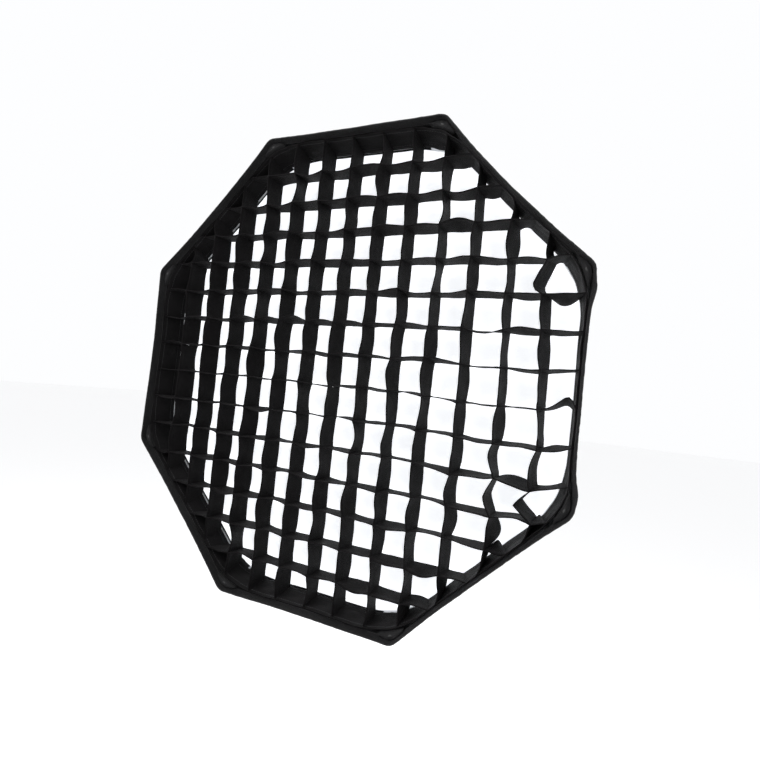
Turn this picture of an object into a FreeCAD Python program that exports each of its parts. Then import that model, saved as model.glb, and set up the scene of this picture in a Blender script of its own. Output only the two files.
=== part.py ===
"""Octagonal studio softbox with a bayonet speedring and a removable fabric egg-crate grid.

The optical axis is Y. Light enters from behind (+Y) through the bayonet insert at the origin and leaves
through the open rim at the front (-Y). Z is up, and two of the eight sides lie level, at top and bottom.
Eight spring rods bow from sockets on the speedring to pockets in the rim's corners and stretch a shell of
eight sewn panels. Inside hang a baffle and the front diffuser, and the egg-crate sits in the recessed rim.
"""
import FreeCAD
import Part
import math
import os

os.makedirs("parts", exist_ok=True)

# ---------------------------------------------------------------- driving dimensions, millimetres
SIDES = 8
STEP_DEG = 360.0 / SIDES              # angle from one side to the next
HALF = math.radians(STEP_DEG / 2)     # half of one side's angle

RIM_CORNER_R = 400.0                  # the rim's corners, an 80 cm softbox
RIM_Y = -360.0                        # the rim's front edge
REAR_APOTHEM = 90.0                   # the shell's rear opening, at the middle of a side
REAR_Y = -18.0
SHELL_BOW = 56.0                      # how far the rods bow a side out from its chord

PANEL_T = 1.2                         # coated cloth of the shell
BINDING_T = 1.1                       # on each face of a bound edge
BINDING_W = (11.0, 8.0)               # at the rim, and at the rear opening
BINDING_FOLD = 1.5
TAPE_T = 1.0                          # hook tape or loop tape
BODY_GAP = 0.3                        # between hook and loop, which are on different bodies
SEAM_GAP = 0.05                       # between flat and curved pieces that are sewn together
BAND_T = 1.2                          # the grid's and the diffuser's border bands

GRID_FRONT_Y = -350.0                 # the egg-crate sits 10 mm inside the rim
GRID_DEPTH = 40.0
GRID_TAPE = (-346.0, -320.0)          # its hook tape and loop tape lie between these
GRID_COLUMNS = 14                     # cells across, between 13 upright strips
GRID_ROWS = 15                        # cells from top to bottom, between 14 level strips
STRIP_T = 1.0
SLOT_CLEARANCE = 0.1                  # on each side of a strip in its half-lap slot

DIFFUSER_Y = -297.0
DIFFUSER_T = 1.0
DIFFUSER_BAND = (-304.0, -282.0)      # the diffuser's border lies on the wall between these

BAFFLE_Y = -168.0
BAFFLE_APOTHEM = 185.0
BAFFLE_T = 0.8
STRAP_WIDTH = 16.0
STRAP_OFFSET = 15.0                   # beside the rod that runs along each corner
SNAP_R = 5.0

ROD_R = 2.0
ROD_START = (88.0, -28.8)             # radius and y of a rod's inner end, in its corner's plane
ROD_TIP = (388.8, -351.0)
ROD_SOCKET_DEG = 71.8                 # angle between the axis and a rod where it leaves its socket
ROD_IN_SOCKET = 24.0
ROD_IN_CAP = 14.0
CAP_R = 3.5
CAP_L = 18.0
POCKET_R = 5.2
POCKET_L = 32.0

RING_R_IN = 70.5                      # speedring
RING_R_OUT = 86.0
RING_Y = (-20.0, -3.5)
INSERT_BORE_R = 49.0                  # bayonet insert
INSERT_FLANGE_R = 74.0
INSERT_FLANGE_T = 3.0
NECK_R = (66.0, 70.2)
NECK_FRONT_Y = -20.5
RETAINER_T = 2.5
LUG_COUNT = 3
LUG_R = (56.0, 59.0)
LUG_TAB_R = 63.0
LUG_H = 9.0
LUG_TAB_T = 2.2
LUG_DEG = 38.0

LOCK_Y = -9.5                         # the two lock screws' height on the speedring
LOCK_BOSS_R = 5.5
LOCK_BOSS_END = 91.0
LOCK_HOLE_R = 3.05
LOCK_SHANK_R = 3.0
PAD_R = 2.6
PAD_END = 74.0
KNOB_R = 9.0
KNOB_START = 96.0
KNOB_L = 15.0

M4_R = 1.95
M3_R = 1.45

# ---------------------------------------------------------------- helpers
vec = FreeCAD.Vector
AXIS = vec(0, 1, 0)
ORIGIN = vec(0, 0, 0)
WIDE = 600.0


def turned(shape, degrees):
    """The shape turned about the optical axis, from +X towards +Z."""
    return shape.rotated(ORIGIN, vec(0, -1, 0), degrees)


def save(name, *solids):
    """Writes the separate solids of one named piece, or of one group of identical pieces."""
    shape = solids[0] if len(solids) == 1 else Part.makeCompound(list(solids))
    assert all(s.isValid() and s.isClosed() and s.Volume > 0 for s in shape.Solids), name
    shape.exportStep("parts/" + name + ".step")
    print(name, len(shape.Solids), round(shape.Volume))
    return shape


def face(points):
    return Part.Face(Part.makePolygon([vec(x, y, 0) for x, y in list(points) + [points[0]]]))


def level_prism(flat_face):
    """A face in the XY plane, drawn out along Z on both sides."""
    moved = flat_face.copy()
    moved.translate(vec(0, 0, -WIDE / 2))
    return moved.extrude(vec(0, 0, WIDE))


def wedge(half_angle):
    """The slice of space within half_angle of the +X direction."""
    z = WIDE * math.tan(half_angle)
    corners = [vec(0, -WIDE, 0), vec(WIDE, -WIDE, -z), vec(WIDE, -WIDE, z), vec(0, -WIDE, 0)]
    return Part.Face(Part.makePolygon(corners)).extrude(vec(0, 2 * WIDE, 0))


def slab(shape, y_low, y_high):
    """The part of a shape between two planes across the axis."""
    size = 2 * WIDE
    return shape.common(Part.makeBox(size, y_high - y_low, size, vec(-WIDE, y_low, -WIDE)))


def annulus(r_in, r_out, y_low, y_high):
    outer = Part.makeCylinder(r_out, y_high - y_low, vec(0, y_low, 0), AXIS)
    return outer.cut(Part.makeCylinder(r_in, y_high - y_low, vec(0, y_low, 0), AXIS))


def cylinder(r, length, start, direction):
    return Part.makeCylinder(r, length, start, direction)


SECTOR = wedge(HALF)

# ---------------------------------------------------------------- the wall's profile
# In the plane through the axis and the middle of a side, the shell is one circular arc.
RIM_APOTHEM = RIM_CORNER_R * math.cos(HALF)
chord = (RIM_APOTHEM - REAR_APOTHEM, RIM_Y - REAR_Y)
CHORD_L = math.hypot(*chord)
ARC_R = CHORD_L ** 2 / (8 * SHELL_BOW) + SHELL_BOW / 2
bow_dir = (-chord[1] / CHORD_L, chord[0] / CHORD_L)
ARC_CENTRE = tuple(
    (a + b) / 2 - (ARC_R - SHELL_BOW) * d
    for a, b, d in zip((RIM_APOTHEM, RIM_Y), (REAR_APOTHEM, REAR_Y), bow_dir)
)


def wall_angle(y):
    """The angle on the wall's arc at which the outer surface reaches this y."""
    return math.asin((y - ARC_CENTRE[1]) / ARC_R)


def wall_point(y, inward=0.0):
    """(distance from the axis, y) on the arc at this y, moved inward along the arc's normal."""
    a = wall_angle(y)
    return (ARC_CENTRE[0] + (ARC_R - inward) * math.cos(a), ARC_CENTRE[1] + (ARC_R - inward) * math.sin(a))


def arc_edge(y_from, y_to, inward):
    ends = [wall_point(y, inward) for y in (y_from, (y_from + y_to) / 2, y_to)]
    return Part.Arc(*[vec(x, y, 0) for x, y in ends]).toShape()


def wall_band(y_front, y_back, depth_out, depth_in):
    """The face between two depths under the wall's outer surface, from y_front to y_back."""
    outer = arc_edge(y_front, y_back, depth_out)
    inner = arc_edge(y_back, y_front, depth_in)
    first = Part.LineSegment(outer.Vertexes[-1].Point, inner.Vertexes[0].Point).toShape()
    last = Part.LineSegment(inner.Vertexes[-1].Point, outer.Vertexes[0].Point).toShape()
    return Part.Face(Part.Wire([outer, first, inner, last]))


def side(flat_face):
    """One side's length of a section, mitred at the two corners."""
    return level_prism(flat_face).common(SECTOR)


def core(depth, y_front, y_back):
    """The solid space inside the wall at this depth, between two planes across the axis."""
    steps = 4
    ys = [y_front + (y_back - y_front) * i / steps for i in range(steps + 1)]
    xs = [wall_radius(y, depth) for y in ys]
    return face([(0, y_front)] + list(zip(xs, ys)) + [(0, y_back)])


def wall_radius(y, depth):
    """How far from the axis the surface at this depth lies, exactly at this y."""
    return ARC_CENTRE[0] + math.sqrt((ARC_R - depth) ** 2 - (y - ARC_CENTRE[1]) ** 2)


def all_round(one_side):
    return [turned(one_side, STEP_DEG * k) for k in range(SIDES)]


def corner_angle(k):
    return STEP_DEG * (k + 0.5)


# A chamfer across each corner leaves room for the rods: distance from the axis at two depths.
CHAMFER_FRONT = (381.2, GRID_FRONT_Y)
CHAMFER_SLOPE = 0.29


def chamfer_radius(y, depth=0.0):
    return CHAMFER_FRONT[0] - CHAMFER_SLOPE * (y - CHAMFER_FRONT[1]) - depth


def corner_core(depth, y_front, y_back):
    """The half-space behind one chamfer, for the corner that faces +X, as wide as its sector."""
    flat = face([(0, y_front), (chamfer_radius(y_front, depth), y_front),
                 (chamfer_radius(y_back, depth), y_back), (0, y_back)])
    return level_prism(flat).common(SECTOR)


def chamfered_core(depth, chamfer_depth, y_front, y_back):
    """An octagonal block that fits inside the wall, with its corners cut off clear of the rods."""
    one_side = side(core(depth, y_front, y_back))
    sides = all_round(one_side)
    corners = [turned(corner_core(chamfer_depth, y_front, y_back), corner_angle(k)) for k in range(SIDES)]
    whole = sides[0].multiFuse(sides[1:]).removeSplitter()
    trimmer = corners[0].multiFuse(corners[1:]).removeSplitter()
    return whole.common(trimmer).removeSplitter()


# ---------------------------------------------------------------- shell
def make_shell():
    panel_face = wall_band(RIM_Y, REAR_Y, 0, PANEL_T)
    panel = side(panel_face)
    for k, one in enumerate(all_round(panel)):
        save("side_panel_%d" % (k + 1), one)
    rim, rear = BINDING_W
    save("rim_binding", *all_round(binding(RIM_Y, RIM_Y + rim, BINDING_FOLD, panel_face)))
    save("rear_binding", *all_round(binding(REAR_Y, REAR_Y - rear, -BINDING_FOLD, panel_face)))
    save("grid_hook_tape", *all_round(tape(*GRID_TAPE, PANEL_T)))
    save("diffuser_hook_tape", *all_round(tape(*DIFFUSER_BAND, PANEL_T)))


def binding(y_edge, y_inner, overhang, panel_face):
    """A tape folded over the panel's edge: it shows on both faces and closes the edge."""
    skin = BINDING_T
    grip = wall_band(y_edge, y_inner, -skin, PANEL_T + skin)
    (x, y), (xi, yi) = wall_point(y_edge, -skin), wall_point(y_edge, PANEL_T + skin)
    a = wall_angle(y_edge)
    dx, dy = math.sin(a) * overhang, -math.cos(a) * overhang
    fold = face([(x, y), (x + dx, y + dy), (xi + dx, yi + dy), (xi, yi)])
    whole = side(grip).fuse(side(fold)).removeSplitter()
    return whole.cut(side(panel_face))


def tape(y_front, y_back, depth):
    """A strip of tape along one side, which stops short of the corners."""
    whole = side(wall_band(y_front, y_back, depth, depth + TAPE_T))
    corner_clear = 34.0
    z = wall_radius(y_back, depth) * math.tan(HALF) - corner_clear
    keep = Part.makeBox(WIDE, WIDE, 2 * z, vec(0, -WIDE, -z))
    return whole.common(keep)


# ---------------------------------------------------------------- rods, caps and pockets
def rod_path():
    """A rod's straight end in its socket, its bow, and its straight end in the cap, in the XY plane."""
    d = (math.sin(math.radians(ROD_SOCKET_DEG)), -math.cos(math.radians(ROD_SOCKET_DEG)))
    start = vec(ROD_START[0], ROD_START[1], 0)
    leave = start + vec(d[0], d[1], 0) * ROD_IN_SOCKET
    # The bow is the circle that leaves along d and ends at the cap, found from its chord.
    tip = vec(ROD_TIP[0], ROD_TIP[1], 0)
    bow_end = tip
    for _ in range(20):
        c = bow_end - leave
        half_turn = math.radians(ROD_SOCKET_DEG) - math.atan2(c.x, -c.y)
        end_angle = math.radians(ROD_SOCKET_DEG) - 2 * half_turn
        end_dir = vec(math.sin(end_angle), -math.cos(end_angle), 0)
        bow_end = tip - end_dir * ROD_IN_CAP
    c = bow_end - leave
    normal = vec(-c.y, c.x, 0).normalize()
    middle = (leave + bow_end) * 0.5 + normal * (c.Length / 2 * math.tan(half_turn / 2))
    return start, leave, middle, bow_end, tip, vec(d[0], d[1], 0), end_dir


START, LEAVE, MIDDLE, BOW_END, TIP, SOCKET_DIR, TIP_DIR = rod_path()


def make_rods():
    path = Part.Wire([
        Part.LineSegment(START, LEAVE).toShape(),
        Part.Arc(LEAVE, MIDDLE, BOW_END).toShape(),
        Part.LineSegment(BOW_END, TIP).toShape(),
    ])
    ring = Part.Wire([Part.Circle(START, SOCKET_DIR, ROD_R).toShape()])
    rod = path.makePipeShell([ring], True, False)
    for k in range(SIDES):
        save("rod_%d" % (k + 1), turned(rod, corner_angle(k)))
    cap_start = TIP - TIP_DIR * ROD_IN_CAP
    cap = cylinder(CAP_R, CAP_L, cap_start, TIP_DIR).cut(cylinder(ROD_R, ROD_IN_CAP, cap_start, TIP_DIR))
    cap = cap.makeFillet(0.9, [e for e in cap.Edges if abs(e.Length - 2 * math.pi * CAP_R) < 0.1])
    pocket_start = cap_start + TIP_DIR * (CAP_L + 1.5 - POCKET_L)
    pocket = cylinder(POCKET_R, POCKET_L, pocket_start, TIP_DIR)
    pocket = pocket.cut(cylinder(CAP_R + 0.1, POCKET_L - 1.4, pocket_start, TIP_DIR))
    # The pocket is sewn into the corner, so it is flattened where the two panels and the binding meet.
    lined = PANEL_T + BINDING_T + SEAM_GAP
    corner_room = level_prism(core(lined, RIM_Y + 1, RIM_Y + 60)).common(SECTOR)
    corner_room = turned(corner_room, -STEP_DEG / 2).fuse(turned(corner_room, STEP_DEG / 2))
    pocket = pocket.common(corner_room)
    at_corners = [corner_angle(k) for k in range(SIDES)]
    save("rod_tip_caps", *[turned(cap, a) for a in at_corners])
    save("corner_pockets", *[turned(pocket, a) for a in at_corners])


# ---------------------------------------------------------------- speedring
FOOT_T = 4.0
FOOT_R = (75.5, 90.0)
FOOT_SCREW_R = 80.5
FOOT_SCREW_Z = 8.0
SOCKET_HALF = 6.0


def make_socket():
    """A rod socket: a slanting block with a blind hole, on a foot with two screws."""
    back = START - SOCKET_DIR * 4
    across = vec(-SOCKET_DIR.y, SOCKET_DIR.x, 0)
    length = ROD_IN_SOCKET + 2
    corners = [back - across * SOCKET_HALF, back + across * SOCKET_HALF,
               back + across * SOCKET_HALF + SOCKET_DIR * length,
               back - across * SOCKET_HALF + SOCKET_DIR * length]
    block = Part.Face(Part.makePolygon(corners + [corners[0]]))
    block.translate(vec(0, 0, -SOCKET_HALF))
    block = block.extrude(vec(0, 0, 2 * SOCKET_HALF))
    foot = Part.makeBox(FOOT_R[1] - FOOT_R[0], FOOT_T, 26.0, vec(FOOT_R[0], RING_Y[0] - FOOT_T, -13.0))
    whole = foot.fuse(block).removeSplitter()
    whole = whole.cut(cylinder(ROD_R + 0.1, WIDE, START, SOCKET_DIR))
    for z in (-FOOT_SCREW_Z, FOOT_SCREW_Z):
        bottom = vec(FOOT_SCREW_R, RING_Y[0] - FOOT_T - 1, z)
        whole = whole.cut(cylinder(M4_R + 0.15, FOOT_T + 2, bottom, AXIS))
    return whole


def cap_screw(r, head_r, head_h, length, start, direction):
    """A pan-head screw whose head rests at start and whose shank runs along direction."""
    head = cylinder(head_r, head_h, start - direction * head_h, direction)
    head = head.makeFillet(head_h * 0.4, [head.Edges[2]] if head.Edges[2].Closed else [head.Edges[0]])
    slot = Part.makeBox(head_r * 3, head_h, r * 0.5, vec(-head_r * 1.5, 0, -r * 0.25))
    slot.translate(start - direction * (head_h * 1.5))
    return head.cut(slot).fuse(cylinder(r, length, start, direction)).removeSplitter()


def make_speedring():
    ring = annulus(RING_R_IN, RING_R_OUT, *RING_Y)
    screws = []
    holes = []
    for sign in (1, -1):
        outward = vec(sign, 0, 0)
        boss = cylinder(LOCK_BOSS_R, LOCK_BOSS_END - 80, vec(sign * 80, LOCK_Y, 0), outward)
        ring = ring.fuse(boss)
        holes.append(cylinder(LOCK_HOLE_R, 40, vec(sign * 60, LOCK_Y, 0), outward))
    foot_screw = cap_screw(M4_R, 3.6, 2.4, FOOT_T + 8, vec(0, RING_Y[0] - FOOT_T, 0), AXIS)
    for k in range(SIDES):
        for z in (-FOOT_SCREW_Z, FOOT_SCREW_Z):
            placed = foot_screw.copy()
            placed.translate(vec(FOOT_SCREW_R, 0, z))
            screws.append(turned(placed, corner_angle(k)))
            hole = cylinder(M4_R + 0.05, 9, vec(FOOT_SCREW_R, RING_Y[0] - 0.5, z), AXIS)
            holes.append(turned(hole, corner_angle(k)))
    ring = ring.removeSplitter().cut(Part.makeCompound(holes))
    save("speedring", ring)
    save("rod_sockets", *[turned(make_socket(), corner_angle(k)) for k in range(SIDES)])
    save("socket_screws", *screws)


def make_insert():
    """The bayonet ring that locks on the light and turns inside the speedring."""
    flange = annulus(INSERT_BORE_R, INSERT_FLANGE_R, -INSERT_FLANGE_T, 0)
    neck = annulus(NECK_R[0], NECK_R[1], NECK_FRONT_Y, -INSERT_FLANGE_T)
    body = flange.fuse(neck)
    for k in range(LUG_COUNT):
        at = 90.0 + 360.0 / LUG_COUNT * k
        wall = arc_wall(LUG_R[0], LUG_R[1], 0, LUG_H, at, LUG_DEG)
        tab = arc_wall(LUG_R[0], LUG_TAB_R, LUG_H - LUG_TAB_T, LUG_H, at + LUG_DEG / 6, LUG_DEG * 2 / 3)
        body = body.fuse([wall, tab])
    retainer = annulus(NECK_R[0], INSERT_FLANGE_R, NECK_FRONT_Y - RETAINER_T, NECK_FRONT_Y)
    mid_r = (NECK_R[0] + NECK_R[1]) / 2
    screw = cap_screw(M3_R, 2.6, 1.8, RETAINER_T + 7, vec(mid_r, NECK_FRONT_Y - RETAINER_T, 0), AXIS)
    hole = cylinder(M3_R + 0.05, RETAINER_T + 8, vec(mid_r, NECK_FRONT_Y - RETAINER_T - 0.5, 0), AXIS)
    angles = [45 + 90 * k for k in range(4)]
    holes = Part.makeCompound([turned(hole, a) for a in angles])
    save("bayonet_insert", body.removeSplitter().cut(holes))
    save("insert_retainer", retainer.cut(holes))
    save("retainer_screws", *[turned(screw, a) for a in angles])


def arc_wall(r_in, r_out, y_low, y_high, at, width):
    """A piece of a round wall, width degrees long, centred on the angle at."""
    outer = Part.makeCylinder(r_out, y_high - y_low, vec(0, y_low, 0), AXIS, width)
    inner = Part.makeCylinder(r_in, y_high - y_low, vec(0, y_low, 0), AXIS)
    piece = outer.cut(inner)
    middle = piece.Solids[0].CenterOfMass
    return turned(piece, at - math.degrees(math.atan2(middle.z, middle.x)))


def make_lock_screws():
    """Two thumb screws that clamp the insert, each with a nylon pad at its tip."""
    for name, sign in (("1", 1), ("2", -1)):
        outward = vec(sign, 0, 0)
        pad_start = NECK_R[1] + BODY_GAP
        pad = cylinder(PAD_R, PAD_END - pad_start, vec(sign * pad_start, LOCK_Y, 0), outward)
        shank_start = PAD_END + SEAM_GAP
        shank_l = KNOB_START - shank_start
        shank = cylinder(LOCK_SHANK_R, shank_l, vec(sign * shank_start, LOCK_Y, 0), outward)
        knob = cylinder(KNOB_R, KNOB_L, vec(sign * KNOB_START, LOCK_Y, 0), outward)
        knob = knob.makeFillet(2.0, [e for e in knob.Edges if e.Closed])
        collar = cylinder(5.2, 4.0, vec(sign * (KNOB_START - 3.5), LOCK_Y, 0), outward)
        flutes = []
        for k in range(9):
            a = math.radians(40 * k)
            dy, dz = (KNOB_R + 1.6) * math.cos(a), (KNOB_R + 1.6) * math.sin(a)
            flutes.append(cylinder(2.6, KNOB_L + 2, vec(sign * (KNOB_START - 1), LOCK_Y + dy, dz), outward))
        knob = knob.cut(Part.makeCompound(flutes))
        save("lock_pad_" + name, pad)
        save("lock_screw_" + name, knob.fuse([collar, shank]).removeSplitter())


# ---------------------------------------------------------------- baffle and front diffuser
def octagon_plate(apothem, y_low, y_high):
    r = apothem / math.cos(HALF)
    corners = [turned(Part.Vertex(r, y_low, 0), corner_angle(k)).Point for k in range(SIDES)]
    return Part.Face(Part.makePolygon(corners + [corners[0]])).extrude(vec(0, y_high - y_low, 0))


def make_baffle():
    save("inner_baffle", octagon_plate(BAFFLE_APOTHEM, BAFFLE_Y, BAFFLE_Y + BAFFLE_T))
    room = chamfered_core(PANEL_T + SEAM_GAP, -WIDE / 4, BAFFLE_Y - 5, BAFFLE_Y + 5)
    start_r = BAFFLE_APOTHEM / math.cos(HALF) - 18
    y = BAFFLE_Y + BAFFLE_T
    strap = Part.makeBox(WIDE / 4, BAFFLE_T, STRAP_WIDTH, vec(start_r, y, STRAP_OFFSET - STRAP_WIDTH / 2))
    snap = cylinder(SNAP_R, 2.2, vec(start_r + 7, y + BAFFLE_T, STRAP_OFFSET), AXIS)
    straps = [turned(strap, corner_angle(k)).common(room) for k in range(SIDES)]
    save("baffle_straps", *[s.Solids[0] for s in straps])
    save("baffle_snaps", *[turned(snap, corner_angle(k)) for k in range(SIDES)])


BORDER_DEPTH = PANEL_T + TAPE_T + BODY_GAP       # where the removable pieces begin


CORNER_HALF_ANGLE = math.radians(4.6)            # a border's band across a corner spans twice this


def border(y_front, y_back):
    """A border band: eight long sides, eight short bands across the corners, and the room inside them."""
    depth = BORDER_DEPTH + TAPE_T + SEAM_GAP
    outer = chamfered_core(depth, 0, y_front, y_back)
    room = chamfered_core(depth + BAND_T, BAND_T, y_front - 1, y_back + 1)
    ring = outer.cut(room)
    slices = [turned(wedge(CORNER_HALF_ANGLE), corner_angle(k)) for k in range(SIDES)]
    corners = [ring.common(s) for s in slices]
    sides = ring.cut(Part.makeCompound(slices)).Solids
    return sides + corners, room


def make_diffuser():
    bands, room = border(*DIFFUSER_BAND)
    save("diffuser_border", *bands)
    save("diffuser_loop_tape", *all_round(tape(*DIFFUSER_BAND, BORDER_DEPTH)))
    save("front_diffuser", slab(room, DIFFUSER_Y, DIFFUSER_Y + DIFFUSER_T))


# ---------------------------------------------------------------- egg-crate grid
def make_grid():
    bands, room = border(GRID_FRONT_Y, GRID_FRONT_Y + GRID_DEPTH)
    save("grid_border", *bands)
    save("grid_loop_tape", *all_round(tape(*GRID_TAPE, BORDER_DEPTH)))
    inside = slab(room, GRID_FRONT_Y, GRID_FRONT_Y + GRID_DEPTH)
    xs, zs = spread(GRID_COLUMNS, inside.BoundBox.XLength), spread(GRID_ROWS, inside.BoundBox.ZLength)
    make_strips("grid_upright", xs, zs, inside, upright=True)
    make_strips("grid_level", zs, xs, inside, upright=False)


def spread(cells, width):
    """Where the strips stand that divide a width into equal cells."""
    return [width / cells * (i - (cells - 2) / 2) for i in range(cells - 1)]


def make_strips(name, places, crossings, inside, upright):
    """Strips at the places, each slotted halfway through its depth where it meets a crossing strip."""
    middle_y = GRID_FRONT_Y + GRID_DEPTH / 2
    slot_y = GRID_FRONT_Y - 1 if upright else middle_y
    slot_w = STRIP_T + 2 * SLOT_CLEARANCE
    by_distance = {}
    for place in places:
        strip = plate_at(place, STRIP_T, GRID_FRONT_Y, GRID_DEPTH, upright).common(inside)
        reach = strip.BoundBox.ZMax if upright else strip.BoundBox.XMax
        crossed = [c for c in crossings if abs(c) < reach]
        slots = [plate_at(c, slot_w, slot_y, GRID_DEPTH / 2 + 1, not upright) for c in crossed]
        strip = strip.cut(Part.makeCompound(slots))
        by_distance.setdefault(round(abs(place), 3), []).extend(strip.Solids)
    for number, distance in enumerate(sorted(by_distance)):
        save("%s_strips_%d" % (name, number), *by_distance[distance])


def plate_at(place, thickness, y, depth, upright):
    """A thin plate along the axis, upright at x = place or level at z = place."""
    if upright:
        return Part.makeBox(thickness, depth, WIDE * 2, vec(place - thickness / 2, y, -WIDE))
    return Part.makeBox(WIDE * 2, depth, thickness, vec(-WIDE, y, place - thickness / 2))


make_shell()
make_rods()
make_speedring()
make_insert()
make_lock_screws()
make_baffle()
make_diffuser()
make_grid()
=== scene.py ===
"""The looks of the octagonal softbox: sewn cloth, tapes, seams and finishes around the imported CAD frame."""

import math

import bpy
import numpy as np
from mathutils import Matrix, Vector


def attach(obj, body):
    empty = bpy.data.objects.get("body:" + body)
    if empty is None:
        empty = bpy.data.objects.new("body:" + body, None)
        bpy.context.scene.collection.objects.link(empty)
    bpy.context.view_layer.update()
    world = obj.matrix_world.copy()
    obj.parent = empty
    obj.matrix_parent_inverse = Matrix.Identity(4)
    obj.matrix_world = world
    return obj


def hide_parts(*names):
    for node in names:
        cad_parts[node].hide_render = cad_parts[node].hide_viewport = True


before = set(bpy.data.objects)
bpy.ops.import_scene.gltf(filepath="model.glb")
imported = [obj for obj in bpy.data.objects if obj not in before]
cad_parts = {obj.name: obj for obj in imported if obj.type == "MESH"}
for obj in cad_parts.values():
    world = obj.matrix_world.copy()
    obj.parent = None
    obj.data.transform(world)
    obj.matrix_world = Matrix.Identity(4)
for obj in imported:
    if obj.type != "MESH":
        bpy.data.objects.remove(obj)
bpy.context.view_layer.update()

# ---------------------------------------------------------------- the shape, in metres, as in the CAD
SIDES = 8
HALF = math.pi / SIDES                # half of one side's angle
RIM_APOTHEM = 0.400 * math.cos(HALF)
REAR_APOTHEM = 0.090
RIM_Y, REAR_Y = -0.360, -0.018
SHELL_BOW = 0.056                     # how far a side bows out from its chord
PANEL_T = 0.0012
GRID_FRONT, GRID_BACK = -0.350, -0.310
COLUMNS, ROWS = 14, 15
GRID_WIDTH = 2 * 0.36053              # across the flats, inside the border band
GRID_TAPE = (-0.346, -0.320)          # front and back edge of a tape or band
DIFFUSER_TAPE = (-0.304, -0.282)
DIFFUSER_LOOPS = (-0.303, -0.283)
DIFFUSER_Y = -0.2965
BAFFLE_Y, STRAP_Y = -0.1676, -0.168
BAFFLE_APOTHEM = 0.185
ROD_TIP_R, ROD_TIP_Y = 0.3888, -0.351

# ---------------------------------------------------------------- the cloth
RIM_ROUND = 0.022                     # radius of the rim's corners
LIP_SIDE = 0                          # the side whose rim flares a little beside its corners
SIDE_BOW = np.array([0.0030, 0.0065, 0.0015, 0.0065, 0.0040, 0.0035, 0.0015, 0.0040])
CLOTH_HALF = 0.00042                  # half the thickness of the shell's cloth
TAPE_HALF = 0.00038                   # half the thickness of binding tape
PATCH_HALF = 0.00035
TAPE_T = 0.0009                       # hook and loop tape
HOOK_DEPTH, LOOP_DEPTH = 0.0012, 0.0025
DISC_T = 0.0005                       # the diffuser's and the baffle's cloth
BAND_DEPTH, BAND_ROUND, BAND_TUCK = 0.00355, 0.030, 0.0092
BAND_LENGTH = 2.42                    # once round inside the rim

chord = np.array([RIM_APOTHEM - REAR_APOTHEM, RIM_Y - REAR_Y])
chord_length = float(np.hypot(*chord))
ARC_R = chord_length**2 / (8 * SHELL_BOW) + SHELL_BOW / 2
ARC_CENTRE = (
    (np.array([RIM_APOTHEM, RIM_Y]) + np.array([REAR_APOTHEM, REAR_Y])) / 2
    - (ARC_R - SHELL_BOW) * np.array([-chord[1], chord[0]]) / chord_length
)


def waves(points, size, seed, count=10):
    """Smooth noise of about unit height: a few sine waves in random directions."""
    own = np.random.default_rng(seed)
    directions = own.normal(size=(count, points.shape[-1]))
    directions /= np.linalg.norm(directions, axis=1, keepdims=True)
    lengths = size * own.uniform(0.6, 1.7, count)
    phases = own.uniform(0, 2 * math.pi, count)
    total = np.zeros(points.shape[:-1])
    for direction, length, phase in zip(directions, lengths, phases):
        total += np.sin(points @ direction * (2 * math.pi / length) + phase)
    return total / math.sqrt(count)


def bump(x, centre, width):
    return np.exp(-(((x - centre) / width) ** 2))


def unit(vectors):
    return vectors / np.linalg.norm(vectors, axis=-1, keepdims=True)


def looped(line):
    """The line with its first point again at its end."""
    return np.concatenate([line, line[:1]])


def once_round(count):
    """Places once round the shell, counted in sides, from corner to corner."""
    return np.linspace(-0.5, SIDES - 0.5, count, endpoint=False)


def wall_angle(y):
    return np.arcsin((y - ARC_CENTRE[1]) / ARC_R)


def arc_length(y):
    return wall_angle(y) * ARC_R


def wall_radius(y, depth=0.0):
    """Distance from the axis to the middle of a side, this deep under the shell's outer surface."""
    return ARC_CENTRE[0] + np.sqrt((ARC_R - depth) ** 2 - (y - ARC_CENTRE[1]) ** 2)


def corner_rounding(y):
    """The radius of the shell's corners, which grow sharper towards the rear."""
    return RIM_ROUND * np.clip((REAR_Y - y) / (REAR_Y - RIM_Y), 0.15, 1) ** 1.5


def sag(side, s, y):
    """How far the stretched cloth is drawn inward from a flat side. s runs from -1 to 1 along the side."""
    f = np.clip((REAR_Y - y) / (REAR_Y - RIM_Y), 0, 1)
    back = np.clip((y + 0.300) / (REAR_Y + 0.300), 0, 1)
    between = 0.060 * wall_radius(y) * math.tan(HALF) * np.abs(np.sin(math.pi * back**0.8)) ** 1.2
    front = SIDE_BOW[side] * f**6
    profile = (1 - s**2) ** 1.15
    near_rim = bump(y, RIM_Y, 0.016)
    flare = 0.0032 * (bump(s, 0.80, 0.10) + bump(s, -0.84, 0.09)) * near_rim * (side == LIP_SIDE)
    place = np.stack([side * 2.0 + s, y * 12.0], axis=-1)
    ripple = 0.00055 * waves(place, 0.9, 3) * (1 - s**4)
    return (between + front) * profile + ripple * np.sqrt(f) - flare


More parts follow.
